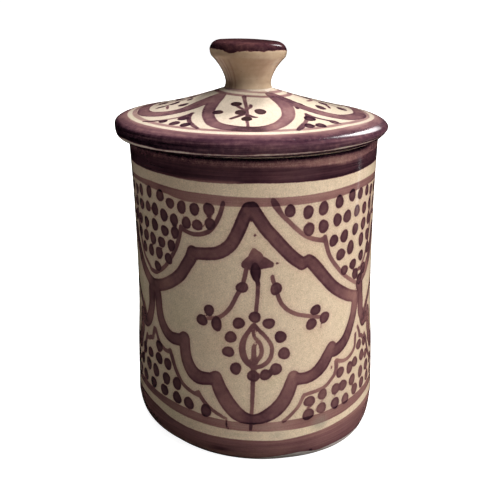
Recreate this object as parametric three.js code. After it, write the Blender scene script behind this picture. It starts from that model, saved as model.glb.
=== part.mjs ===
// A lidded pottery jar thrown on the wheel, in millimetres with +Z up.
// The origin is the centre of the foot ring, on the surface that the jar stands on.
// Jar and lid are each one fired piece, and the knob was thrown by itself and luted to the lid.
import * as THREE from "three";

// Jar body, outside
const JAR_HEIGHT = 157.5;
const FOOT_RADIUS = 64.3;
const HEEL_RADIUS = 67.9;
const HEEL_HEIGHT = 12;
const HEEL_DRAW = 1.1; // how far the rounding under the heel is drawn in
const BELLY_RADIUS = 66.6;
const BELLY_HEIGHT = 41;
const SHANK_RADIUS = 64.5;
const SHANK_HEIGHT = 73;
const RIM_RADIUS = 64;
const WAIST_DRAW = 0.4; // how far the waist lies inside the rim
const WAIST_DROP = 36; // how far the waist lies below the rim
const LIP_ROUND = 1.6;

// Jar body, inside and underneath
const RIM_WALL = 6;
const HEEL_WALL = 7;
const FLOOR_THICKNESS = 8;
const FLOOR_FILLET = 14;
const RING_PITCH = 13; // from one finger ridge to the next, up the inside
const RING_DEPTH = 0.45;
const FOOT_RING_WIDTH = 8;
const FOOT_RING_BEVEL = 1.4;
const FOOT_RECESS = 1.8;

// Lid
const LID_OVERHANG = 5.6; // past the jar's rim
const SEAT_MARGIN = 1; // flat of the seat past the jar's rim
const EDGE_HEIGHT = 4.6; // widest line of the rolled edge, above the seat
const SHOULDER_INSET = 2.8;
const SHOULDER_HEIGHT = 7.7;
const CONE_MID_RADIUS = 40;
const CONE_MID_HEIGHT = 12.7;
const COLLAR_HEIGHT = 22; // flat that the knob is luted to, above the seat
const LUTE_FILLET = 1.6; // smoothed slip round the knob's foot
const LID_WALL = 6;
const CROWN_THICKNESS = 9.5;
const FLANGE_DEPTH = 9;
const FLANGE_WALL = 4.8;
const FLANGE_ROUND = 1.6;
const FLANGE_CLEARANCE = 1.2; // all round, inside the mouth
const UNDERSIDE_FILLET = 4;

// Knob
const NECK_RADIUS = 11.5;
const NECK_HEIGHT = 8.5;
const NECK_LEAN = 0.9; // outwards over the neck's height
const KNOB_RADIUS = 19.6;
const KNOB_HEIGHT = 23;
const KNOB_UNDERCUT = 0.7;
const FLARE_HEIGHT = 15;
const KNOB_EDGE_ROUND = 4.2;
const KNOB_DOME = 0.7;

// Facets
const ROUND_STEPS = 64;
const KNOB_STEPS = 48;
const WALL_STEPS = 12;
const CURVE_STEPS = 5;
const FLARE_STEPS = 8;
const ROUND_EDGE_STEPS = 3;
const HALVINGS = 40; // of a line, to find a point on it

const SEAT = JAR_HEIGHT; // the lid's seat lies on the jar's rim
const MOUTH_RADIUS = RIM_RADIUS - RIM_WALL;
const FLANGE_RADIUS = MOUTH_RADIUS - FLANGE_CLEARANCE;
const LID_RADIUS = RIM_RADIUS + LID_OVERHANG;

const at = (radius, height) => new THREE.Vector2(radius, height);

// Points of a quadratic bend between two ends.
function bend(from, pull, to, steps = CURVE_STEPS) {
  return new THREE.QuadraticBezierCurve(from, pull, to).getPoints(steps);
}

// A quarter circle round a centre, from one compass quarter of the section to the next.
function quarter(centre, radius, firstQuarter) {
  const start = (firstQuarter * Math.PI) / 2;
  const end = start + Math.PI / 2;
  const curve = new THREE.EllipseCurve(centre.x, centre.y, radius, radius, start, end);
  return curve.getPoints(ROUND_EDGE_STEPS);
}

// Turns a closed half section round the vertical axis.
function thrown(name, stretches, steps, material) {
  const points = stretches.flat();
  const section = points.filter((p, i) => i === 0 || p.distanceTo(points[i - 1]) > 1e-6);
  const geometry = new THREE.LatheGeometry(section, steps);
  geometry.rotateX(Math.PI / 2);
  const mesh = new THREE.Mesh(geometry, material);
  mesh.name = name;
  return mesh;
}

// Outside of the jar's wall, from the heel up to the rounding of the lip.
function wallLine() {
  return new THREE.SplineCurve([
    at(HEEL_RADIUS, HEEL_HEIGHT),
    at(BELLY_RADIUS, BELLY_HEIGHT),
    at(SHANK_RADIUS, SHANK_HEIGHT),
    at(RIM_RADIUS - WAIST_DRAW, JAR_HEIGHT - WAIST_DROP),
    at(RIM_RADIUS, JAR_HEIGHT - LIP_ROUND),
  ]);
}

// The point where a line that climbs all the way reaches a given height.
function pointAtHeight(line, height) {
  let low = 0;
  let high = 1;
  for (let i = 0; i < HALVINGS; i++) {
    const middle = (low + high) / 2;
    if (line.getPoint(middle).y < height) low = middle;
    else high = middle;
  }
  return line.getPoint(high);
}

// Inside of the wall from the lip down to the floor's fillet, with the ridges that fingers leave.
function insideWall() {
  const line = wallLine();
  const top = JAR_HEIGHT - LIP_ROUND;
  const bottom = FLOOR_THICKNESS + FLOOR_FILLET;
  const halfRings = 2 * Math.round((top - bottom) / RING_PITCH);
  const points = [];
  for (let i = 0; i <= halfRings; i++) {
    const height = THREE.MathUtils.lerp(top, bottom, i / halfRings);
    const wall = THREE.MathUtils.mapLinear(height, bottom, top, HEEL_WALL, RIM_WALL);
    const hollow = i % 2 === 0 ? 0 : RING_DEPTH;
    points.push(at(pointAtHeight(line, height).x - wall + hollow, height));
  }
  return points;
}

function jarBody(material) {
  const ringInside = FOOT_RADIUS - FOOT_RING_WIDTH;
  const inside = insideWall();
  const wallFoot = inside[inside.length - 1];
  const floorEdge = at(wallFoot.x - FLOOR_FILLET, FLOOR_THICKNESS);
  const lipHeight = JAR_HEIGHT - LIP_ROUND;
  return thrown(
    "jar_body",
    [
      [at(0, FOOT_RECESS), at(ringInside - FOOT_RING_BEVEL, FOOT_RECESS), at(ringInside, 0)],
      bend(at(FOOT_RADIUS, 0), at(HEEL_RADIUS - HEEL_DRAW, 0), at(HEEL_RADIUS, HEEL_HEIGHT)),
      wallLine().getPoints(WALL_STEPS),
      quarter(at(RIM_RADIUS - LIP_ROUND, lipHeight), LIP_ROUND, 0),
      quarter(at(MOUTH_RADIUS + LIP_ROUND, lipHeight), LIP_ROUND, 1),
      inside,
      bend(wallFoot, at(wallFoot.x, FLOOR_THICKNESS), floorEdge),
      [at(0, FLOOR_THICKNESS)],
    ],
    ROUND_STEPS,
    material,
  );
}

// Top of the lid from the knob's fillet out to the shoulder, a little hollow on its way.
function coneLine() {
  return new THREE.QuadraticBezierCurve(
    at(NECK_RADIUS + LUTE_FILLET, SEAT + COLLAR_HEIGHT - LUTE_FILLET / 2),
    at(CONE_MID_RADIUS, SEAT + CONE_MID_HEIGHT),
    at(LID_RADIUS - SHOULDER_INSET, SEAT + SHOULDER_HEIGHT),
  );
}

// Underside of the lid, from the crown under the knob out and down to the flange.
function lidHollow(cone) {
  const flangeInside = FLANGE_RADIUS - FLANGE_WALL;
  const crown = SEAT + COLLAR_HEIGHT - CROWN_THICKNESS;
  const edgeRadius = flangeInside - UNDERSIDE_FILLET;
  const nearEdge = cone.getPoints(CURVE_STEPS * 8).find((p) => p.x >= edgeRadius);
  const edge = at(edgeRadius, nearEdge.y - LID_WALL);
  return [
    bend(at(0, crown), at(edgeRadius / 2, crown), edge),
    bend(edge, at(flangeInside, edge.y), at(flangeInside, edge.y - UNDERSIDE_FILLET)),
  ];
}

// Outer edge of the lid, rolled from the seat round to the shoulder.
function rolledEdge(cone) {
  const shoulder = cone.getPoint(1);
  const slope = cone.getTangent(1);
  const rollTop = shoulder.y + ((LID_RADIUS - shoulder.x) * slope.y) / slope.x;
  const widest = at(LID_RADIUS, SEAT + EDGE_HEIGHT);
  return [
    bend(at(RIM_RADIUS + SEAT_MARGIN, SEAT), at(LID_RADIUS, SEAT), widest),
    bend(widest, at(LID_RADIUS, rollTop), shoulder),
  ];
}

// The lid's flat seat lies on the rim, its flange hangs in the mouth and its edge rolls past the rim.
function lid(material) {
  const cone = coneLine();
  const collar = SEAT + COLLAR_HEIGHT;
  const flangeInside = FLANGE_RADIUS - FLANGE_WALL;
  const flangeFoot = SEAT - FLANGE_DEPTH + FLANGE_ROUND;
  return thrown(
    "lid",
    [
      ...lidHollow(cone),
      quarter(at(flangeInside + FLANGE_ROUND, flangeFoot), FLANGE_ROUND, 2),
      quarter(at(FLANGE_RADIUS - FLANGE_ROUND, flangeFoot), FLANGE_ROUND, 3),
      [at(FLANGE_RADIUS, SEAT)],
      ...rolledEdge(cone),
      cone.getPoints(CURVE_STEPS + 2).reverse(),
      bend(cone.getPoint(0), at(NECK_RADIUS, cone.getPoint(0).y), at(NECK_RADIUS, collar), 3),
      [at(0, collar)],
    ],
    ROUND_STEPS,
    material,
  );
}

// A solid flared knob with a rolled edge and a nearly flat top.
function lidKnob(material) {
  const foot = SEAT + COLLAR_HEIGHT;
  const neck = at(NECK_RADIUS + NECK_LEAN, foot + NECK_HEIGHT);
  const flareEnd = at(KNOB_RADIUS - KNOB_UNDERCUT, foot + FLARE_HEIGHT);
  const top = foot + KNOB_HEIGHT;
  const edge = top - KNOB_DOME;
  const widest = at(KNOB_RADIUS, edge - KNOB_EDGE_ROUND);
  const topEdge = at(KNOB_RADIUS - KNOB_EDGE_ROUND, edge);
  return thrown(
    "lid_knob",
    [
      [at(0, foot)],
      bend(at(NECK_RADIUS, foot), neck, flareEnd, FLARE_STEPS),
      bend(flareEnd, at(KNOB_RADIUS, (flareEnd.y + widest.y) / 2), widest, 2),
      bend(widest, at(KNOB_RADIUS, edge), topEdge),
      bend(topEdge, at(topEdge.x / 2, top), at(0, top), 3),
    ],
    KNOB_STEPS,
    material,
  );
}

const creamGlaze = new THREE.MeshStandardMaterial({ color: 0xd9caa8, roughness: 0.25, metalness: 0 });
const paintedGlaze = new THREE.MeshStandardMaterial({ color: 0xb59a8a, roughness: 0.25, metalness: 0 });
const knobGlaze = new THREE.MeshStandardMaterial({ color: 0x9c8468, roughness: 0.3, metalness: 0 });

const jar = new THREE.Group();
jar.add(jarBody(creamGlaze));

const liftingLid = new THREE.Group();
liftingLid.add(lid(paintedGlaze));
liftingLid.add(lidKnob(knobGlaze));
jar.add(liftingLid);

export default jar;
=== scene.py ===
import math

import bpy
import numpy as np
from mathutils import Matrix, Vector


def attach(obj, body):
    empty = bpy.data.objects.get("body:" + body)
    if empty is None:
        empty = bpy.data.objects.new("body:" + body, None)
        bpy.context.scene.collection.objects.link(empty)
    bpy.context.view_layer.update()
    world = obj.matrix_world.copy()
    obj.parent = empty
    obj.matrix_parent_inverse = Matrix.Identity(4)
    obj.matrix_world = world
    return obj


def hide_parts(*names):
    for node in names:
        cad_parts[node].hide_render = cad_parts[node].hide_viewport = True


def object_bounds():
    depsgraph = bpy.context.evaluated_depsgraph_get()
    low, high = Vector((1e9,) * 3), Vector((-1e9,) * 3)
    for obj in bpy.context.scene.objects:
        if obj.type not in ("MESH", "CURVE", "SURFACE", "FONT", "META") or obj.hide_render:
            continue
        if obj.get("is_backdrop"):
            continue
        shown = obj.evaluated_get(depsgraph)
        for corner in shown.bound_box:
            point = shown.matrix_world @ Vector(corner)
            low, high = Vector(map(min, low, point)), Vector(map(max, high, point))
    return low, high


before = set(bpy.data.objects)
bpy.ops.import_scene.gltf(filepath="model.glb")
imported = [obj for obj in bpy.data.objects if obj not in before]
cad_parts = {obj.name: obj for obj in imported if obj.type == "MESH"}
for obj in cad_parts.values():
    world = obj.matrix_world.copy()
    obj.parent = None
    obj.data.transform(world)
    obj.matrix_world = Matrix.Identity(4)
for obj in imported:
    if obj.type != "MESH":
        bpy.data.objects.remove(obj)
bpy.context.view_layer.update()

# The photographer's place and the light, in metres: a high window on the right, another behind it and a pale
# ceiling on the left. Three small lamps only draw the bright lines on the wall, the lid and the knob. The jar
# stands on a pale sweep of card whose rim curves up all round, so every side has a plain ground.

PHOTO_PIXELS = 500
FOCAL_PIXELS = 664.4
CAMERA_PLACE = (-0.0026, -0.3453, 0.2203)
CAMERA_PITCH = math.radians(20.57)

camera_data = bpy.data.cameras.new("photographer")
camera_data.sensor_width = 36.0
camera_data.lens = camera_data.sensor_width * FOCAL_PIXELS / PHOTO_PIXELS
camera_data.clip_start = 0.01
camera = bpy.data.objects.new("photographer", camera_data)
camera.location = CAMERA_PLACE
camera.rotation_euler = (math.pi / 2 - CAMERA_PITCH, 0, 0)
bpy.context.scene.collection.objects.link(camera)
bpy.context.scene.camera = camera
bpy.context.scene.view_settings.view_transform = "Standard"


def around(turn, height, distance):
    """A place round the jar: turn is in degrees to the right of the camera's side."""
    angle = math.radians(turn)
    return Vector((distance * math.sin(angle), -distance * math.cos(angle), height))


def soft_light(name, place, aim, size, watts):
    """A rectangular lamp of a size across and up, which shines from its place towards its aim."""
    light = bpy.data.lights.new(name, "AREA")
    light.shape = "RECTANGLE"
    light.size, light.size_y = size
    light.energy = watts
    lamp = bpy.data.objects.new(name, light)
    lamp.location = place
    lamp.rotation_euler = (aim - place).to_track_quat("-Z", "Y").to_euler()
    lamp.visible_camera = False
    bpy.context.scene.collection.objects.link(lamp)
    return lamp


JAR_MIDDLE = Vector((0, 0, 0.1))
LID_MIDDLE = Vector((0, 0, 0.18))
high_window = soft_light("high_window", around(64, 1.64, 1.54), JAR_MIDDLE, (1.6, 1.6), 66)
back_window = soft_light("back_window", around(150, 1.6, 1.2), LID_MIDDLE, (0.5, 0.5), 58)
ceiling = soft_light("ceiling", around(-140, 1.7, 0.9), LID_MIDDLE, (1.2, 1.2), 8)
for lamp in (high_window, back_window, ceiling):
    lamp.visible_glossy = False

WALL_SHINE = Vector((0.05, -0.04, 0.135))
LID_SHINE = Vector((0.06, -0.05, 0.165))
KNOB_SHINE = Vector((0.012, 0, 0.2))
GLINT_SPREAD = math.radians(26)
wall_glint = soft_light("wall_glint", around(100.4, 0.066, 0.287), WALL_SHINE, (0.003, 0.055), 0.003)
lid_glint = soft_light("lid_glint", Vector((0.143, 0.145, 0.28)), LID_SHINE, (0.045, 0.15), 0.004)
knob_glint = soft_light("knob_glint", Vector((0.128, 0.168, 0.336)), KNOB_SHINE, (0.035, 0.22), 0.004)
lid_glint.data.spread = GLINT_SPREAD
knob_glint.data.spread = GLINT_SPREAD
for lamp in (wall_glint, lid_glint, knob_glint):
    lamp.visible_diffuse = False

world = bpy.data.worlds.new("dark_room")
world.use_nodes = True
world.node_tree.nodes["Background"].inputs["Color"].default_value = (0, 0, 0, 1)
bpy.context.scene.world = world

SWEEP_MIDDLE = (0.001, 0.4)
SWEEP_FLAT = 3.0
SWEEP_BEND = 1.0
SWEEP_TOP = 2.4
SWEEP_TURNS = 96
SWEEP_STEPS = 24
TABLE_HOLE = 0.071
TABLE_HEIGHT = -0.0005


def round_sheet(name, radii, heights):
    """A sheet turned round the jar's axis from radii and heights, inside edge first."""
    points = []
    faces = []
    for radius, height in zip(radii, heights):
        for k in range(SWEEP_TURNS):
            angle = 2 * math.pi * k / SWEEP_TURNS
            points.append((radius * math.cos(angle), radius * math.sin(angle), height))
    for i in range(len(radii) - 1):
        near, far = i * SWEEP_TURNS, (i + 1) * SWEEP_TURNS
        for k in range(SWEEP_TURNS):
            after = (k + 1) % SWEEP_TURNS
            faces.append((near + k, far + k, far + after, near + after))
    mesh = bpy.data.meshes.new(name)
    mesh.from_pydata(points, [], faces)
    mesh.shade_smooth()
    sheet = bpy.data.objects.new(name, mesh)
    sheet.visible_glossy = False
    bpy.context.scene.collection.objects.link(sheet)
    sheet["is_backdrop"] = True
    return sheet


def matt(name, shade, glow):
    """A matt card with a little light of its own, as if lit from all over the room."""
    material = bpy.data.materials.new(name)
    material.use_nodes = True
    shader = material.node_tree.nodes["Principled BSDF"].inputs
    shader["Base Color"].default_value = (shade, shade, shade, 1)
    shader["Roughness"].default_value = 0.9
    shader["Specular IOR Level"].default_value = 0.1
    shader["Emission Color"].default_value = (1, 1, 1, 1)
    shader["Emission Strength"].default_value = glow
    return material


# The camera sees the white card. A grey table, which it doesn't see, throws light up at the jar's lower side.
# The table has a hole under the jar.
climb = np.linspace(0, math.pi / 2, SWEEP_STEPS)
sweep = round_sheet(
    "card_sweep",
    np.concatenate([SWEEP_MIDDLE, SWEEP_FLAT + SWEEP_BEND * np.sin(climb), [SWEEP_FLAT + SWEEP_BEND]]),
    np.concatenate([[0, 0], SWEEP_BEND * (1 - np.cos(climb)), [SWEEP_TOP]]),
)
sweep.data.materials.append(matt("white_card", 0.6, 0.95))
sweep.visible_diffuse = False
sweep.visible_shadow = False
table = round_sheet("grey_table", [TABLE_HOLE, SWEEP_FLAT], [TABLE_HEIGHT, TABLE_HEIGHT])
table.data.materials.append(matt("grey_table", 0.37, 0.0))
table.visible_camera = False

# The jar: one wheel-thrown cylinder of buff clay with a heel, a foot ring and a rounded lip. It was dipped in
# cream glaze, banded on the wheel and painted freehand in manganese purple: two lobed panels with a sprig,
# two narrow ones with leaves, and dotted corners between them. The foot ring and the lip's top are bare.

# Sizes of the pieces are in millimetres. Places on a section are (distance from the axis, height).
JAR_HEIGHT = 157.5
FOOT_RADIUS = 64.3
FOOT_CORNER = (FOOT_RADIUS + 0.7, 0.5)
HEEL_PULL = (67, 2.6)
HEEL = (67.9, 12)
LIP_ROUND = 1.6
LIP_FOOT = JAR_HEIGHT - LIP_ROUND
RIM_RADIUS = 64
WALL_POINTS = [HEEL, (66.6, 41), (64.5, 73), (63.6, 121.5), (RIM_RADIUS, LIP_FOOT)]
RIM_WALL = 6
HEEL_WALL = 7
FLOOR_TOP = 8
FLOOR_FILLET = 14
FINGER_PITCH = 13
FINGER_DEPTH = 0.45
FOOT_RING_INSIDE = 56.3
FOOT_RING_ROUND = 0.4
FOOT_RECESS = 1.8
HUB_RADIUS = 3  # the innermost ring of vertices round the middle of a floor
JAR_COLUMNS = 400
WALL_STEP = 1.2


def flowing(points, step):
    """A smooth line through points; its first two numbers are a place, and any others go along with it."""
    points = np.array(points, float)
    padded = np.concatenate([points[:1], points, points[-1:]])
    line = []
    for before, start, end, after in zip(padded, padded[1:], padded[2:], padded[3:]):
        count = max(1, int(math.ceil(np.linalg.norm((end - start)[:2]) / step)))
        t = (np.arange(count) / count)[:, None]
        out, back = (end - before) / 2, (after - start) / 2
        cubic = 2 * start - 2 * end + out + back
        square = 3 * end - 3 * start - 2 * out - back
        line.append(cubic * t**3 + square * t**2 + out * t + start)
    return np.concatenate(line + [points[-1:]])


def bend(start, pull, end, count):
    """A quadratic bend between two ends."""
    t = np.linspace(0, 1, count + 1)[:, None]
    return (1 - t) ** 2 * np.array(start) + 2 * t * (1 - t) * np.array(pull) + t**2 * np.array(end)


def straight(start, end, step):
    """A straight line cut into equal steps, none longer than step."""
    count = max(1, int(math.ceil(math.dist(start, end) / step)))
    return np.linspace(start, end, count + 1)


def quarter(centre, radius, first_quarter, count=6):
    """A quarter circle of the section, from one compass quarter to the next."""
    angle = np.linspace(first_quarter, first_quarter + 1, count + 1) * math.pi / 2
    return np.stack([centre[0] + radius * np.cos(angle), centre[1] + radius * np.sin(angle)], axis=1)


def joined(*stretches):
    """One section line out of stretches, without the points that they share."""
    points = np.concatenate(stretches)
    apart = np.linalg.norm(np.diff(points, axis=0), axis=1) > 1e-4
    return points[np.concatenate([[True], apart])]


class Turned:
    """A piece turned on the wheel: its section, its vertices in millimetres, and the paint on them.

    The vertices follow the section ring by ring, and the two on the axis, its poles, come last.
    """

    def __init__(self, name, section, columns):
        self.name = name
        self.columns = columns
        self.poles = section[[0, -1]]
        self.rings = section[1:-1]
        angle = np.radians((np.arange(columns) / columns - 0.5) * 360)
        radius = np.repeat(self.rings[:, :1], columns, axis=1)
        height = np.repeat(self.rings[:, 1:], columns, axis=1)
        wall = np.stack([radius * np.sin(angle), -radius * np.cos(angle), height], axis=-1)
        ends = [[0, 0, self.poles[0][1]], [0, 0, self.poles[1][1]]]
        self.points = np.concatenate([wall.reshape(-1, 3), ends])
        ring_numbers = np.arange(len(self.rings))
        self.along = np.concatenate([np.repeat(ring_numbers, columns), ring_numbers[[0, -1]]])
        self.paint = {}

    def turns(self):
        """Degrees to the right of the camera's side, for every vertex."""
        return np.degrees(np.arctan2(self.points[:, 0], -self.points[:, 1]))

    def radii(self):
        """Millimetres from the axis, for every vertex."""
        return np.hypot(self.points[:, 0], self.points[:, 1])

    def keep(self, name, coat):
        """Keeps a coat of paint for the material, as two values on every vertex."""
        self.paint[name] = coat["edge"]
        self.paint[name + "_wet"] = coat["wet"]

    def faces(self):
        """Four-sided faces between neighbouring rings, and a fan of triangles round each pole."""
        here = np.arange(self.columns)
        after = (here + 1) % self.columns
        starts = np.arange(len(self.rings)) * self.columns
        faces = []
        for low, high in zip(starts, starts[1:]):
            faces += np.stack([low + here, low + after, high + after, high + here], axis=1).tolist()
        first_pole = np.full(self.columns, len(self.rings) * self.columns)
        faces += np.stack([first_pole, after, here], axis=1).tolist()
        faces += np.stack([first_pole + 1, starts[-1] + here, starts[-1] + after], axis=1).tolist()
        return faces

    def unrolled(self):
        """Where each corner of each face lies on the flattened skin."""
        length = np.concatenate([[0], np.cumsum(np.linalg.norm(np.diff(self.rings, axis=0), axis=1))])
        reach = [abs(self.rings[0][0]), abs(self.rings[-1][0])]
        rows = (length + reach[0]) / (length[-1] + sum(reach))
        columns = np.arange(self.columns) / self.columns
        width = 1 / self.columns
        corners = []
        for low, high in zip(rows, rows[1:]):
            for u in columns:
                corners += [(u, low), (u + width, low), (u + width, high), (u, high)]
        for u in columns:
            corners += [(u + width / 2, 0), (u + width, rows[0]), (u, rows[0])]
        for u in columns:
            corners += [(u + width / 2, 1), (u, rows[-1]), (u + width, rows[-1])]
        return np.array(corners, np.float32)

    def build(self, material):
        """The finished piece in metres, with its paint and its flattened skin."""
        mesh = bpy.data.meshes.new(self.name)
        mesh.from_pydata((self.points / 1000).tolist(), [], self.faces())
        mesh.shade_smooth()
        for name, values in self.paint.items():
            layer = mesh.attributes.new(name, "FLOAT", "POINT")
            layer.data.foreach_set("value", np.ascontiguousarray(values, np.float32))
        flat = mesh.uv_layers.new(name="OFBake")
        flat.data.foreach_set("uv", self.unrolled().ravel())
        mesh.materials.append(material)
        piece = bpy.data.objects.new(self.name, mesh)
        bpy.context.scene.collection.objects.link(piece)
        return piece


def jar_section():
    """From the middle of the base out to the foot, up the wall, over the lip and down to the floor."""
    wall = flowing(WALL_POINTS, WALL_STEP)
    mouth = RIM_RADIUS - RIM_WALL
    inside_foot = FLOOR_TOP + FLOOR_FILLET
    heights = np.arange(LIP_FOOT, inside_foot, -FINGER_PITCH / 4)
    share = (heights - inside_foot) / (LIP_FOOT - inside_foot)
    outside = np.interp(heights, wall[:, 1], wall[:, 0])
    fingers = (1 - np.cos((LIP_FOOT - heights) * 2 * math.pi / FINGER_PITCH)) / 2
    inside = outside - RIM_WALL * share - HEEL_WALL * (1 - share) + FINGER_DEPTH * fingers
    fillet_top = (inside[-1], heights[-1])
    floor_edge = (inside[-1] - FLOOR_FILLET, FLOOR_TOP)
    recess_edge = (FOOT_RING_INSIDE - FOOT_RECESS, FOOT_RECESS)
    ring_inside = (FOOT_RING_INSIDE, FOOT_RING_ROUND)
    ring_start = (FOOT_RING_INSIDE + FOOT_RING_ROUND, 0)
    ring_end = (FOOT_RADIUS - 0.5, 0)
    return joined(
        [(0, FOOT_RECESS)],
        straight((HUB_RADIUS, FOOT_RECESS), recess_edge, 6),
        bend(recess_edge, (FOOT_RING_INSIDE, FOOT_RECESS), ring_inside, 4),
        bend(ring_inside, (FOOT_RING_INSIDE, 0), ring_start, 3),
        straight(ring_start, ring_end, 2),
        bend(ring_end, (FOOT_RADIUS + 0.2, 0), FOOT_CORNER, 3),
        bend(FOOT_CORNER, HEEL_PULL, HEEL, 12),
        wall,
        quarter((RIM_RADIUS - LIP_ROUND, LIP_FOOT), LIP_ROUND, 0),
        straight((RIM_RADIUS - LIP_ROUND, JAR_HEIGHT), (mouth + LIP_ROUND, JAR_HEIGHT), 1),
        quarter((mouth + LIP_ROUND, LIP_FOOT), LIP_ROUND, 1),
        np.stack([inside, heights], axis=1),
        bend(fillet_top, (inside[-1], FLOOR_TOP), floor_edge, 10),
        straight(floor_edge, (HUB_RADIUS, FLOOR_TOP), 6),
        [(0, FLOOR_TOP)],
    )


# Brushwork, worked out for every vertex: how far inside a stroke it lies, in millimetres, and how wet it is.
NO_PAINT = -9.0
PAINTED_RADIUS = 65.3
MM_PER_DEGREE = math.pi * PAINTED_RADIUS / 180
STROKE_STEP = 1.6
BRUSH_REACH = 3
DAB_SPREAD = 0.17
DAB_WOBBLE = 0.04

hand = np.random.default_rng(7)


def new_coat(piece):
    """An empty coat of paint for every vertex of a piece."""
    return {"edge": np.full(len(piece.points), NO_PAINT), "wet": np.zeros(len(piece.points))}


def lay(coat, where, inside, wet):
    """Adds a stroke to a coat. Each spot keeps the stroke that it lies deepest inside."""
    old = coat["edge"][where]
    newer = inside > old
    coat["edge"][where] = np.maximum(old, inside)
    coat["wet"][where] = np.where(newer, wet, coat["wet"][where])


def stroke(coat, spots, points):
    """One pull of the brush through points of (across, up, wet, width), in millimetres."""
    line = flowing(points, STROKE_STEP)
    reach = line[:, 3].max() / 2 + BRUSH_REACH
    low, high = line[:, :2].min(axis=0) - reach, line[:, :2].max(axis=0) + reach
    where = np.nonzero(((spots > low) & (spots < high)).all(axis=1))[0]
    if len(where) == 0:
        return
    starts, steps = line[:-1], np.diff(line, axis=0)
    away = spots[where][:, None, :] - starts[None, :, :2]
    length = np.maximum((steps[:, :2] ** 2).sum(axis=1), 1e-9)
    t = np.clip((away * steps[None, :, :2]).sum(axis=2) / length, 0, 1)
    gap = np.linalg.norm(away - t[..., None] * steps[None, :, :2], axis=2)
    inside = (starts[:, 3] + t * steps[:, 3]) / 2 - gap
    best = inside.argmax(axis=1)
    row = np.arange(len(where))
    wet = starts[best, 2] + t[row, best] * steps[best, 2]
    lay(coat, where, inside[row, best], wet)


def dab(coat, spots, centre, wide, tall, wet):
    """A touch of the brush's tip: a dot that is never quite round."""
    reach = max(wide, tall) / 2 + BRUSH_REACH
    where = np.nonzero((np.abs(spots - np.array(centre)) < reach).all(axis=1))[0]
    away = (spots[where] - np.array(centre)) / (wide / 2, tall / 2)
    angle = np.arctan2(away[:, 1], away[:, 0])
    oval, corner = hand.uniform(0, 2 * math.pi, 2)
    outline = 1 + DAB_WOBBLE * (np.cos(2 * angle + oval) + np.cos(3 * angle + corner))
    inside = (outline - np.linalg.norm(away, axis=1)) * min(wide, tall) / 2
    lay(coat, where, inside + DAB_SPREAD, wet)


jar = Turned("painted_jar", jar_section(), JAR_COLUMNS)
LIP_RINGS = 3  # rings of vertices up the lip that still belong to the outside
first_lip_ring = np.nonzero(np.isclose(jar.rings[:, 1], LIP_FOOT))[0][0]
jar_skin = jar.along < first_lip_ring + LIP_RINGS
jar_outside = jar_skin.copy()
jar_outside[-2:] = False
jar_turn = jar.turns()
jar_radius = jar.radii()
jar_height = jar.points[:, 2].copy()
OUT_OF_REACH = -90.0
paint_height = np.where(jar_outside, jar_height, OUT_OF_REACH)

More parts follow.
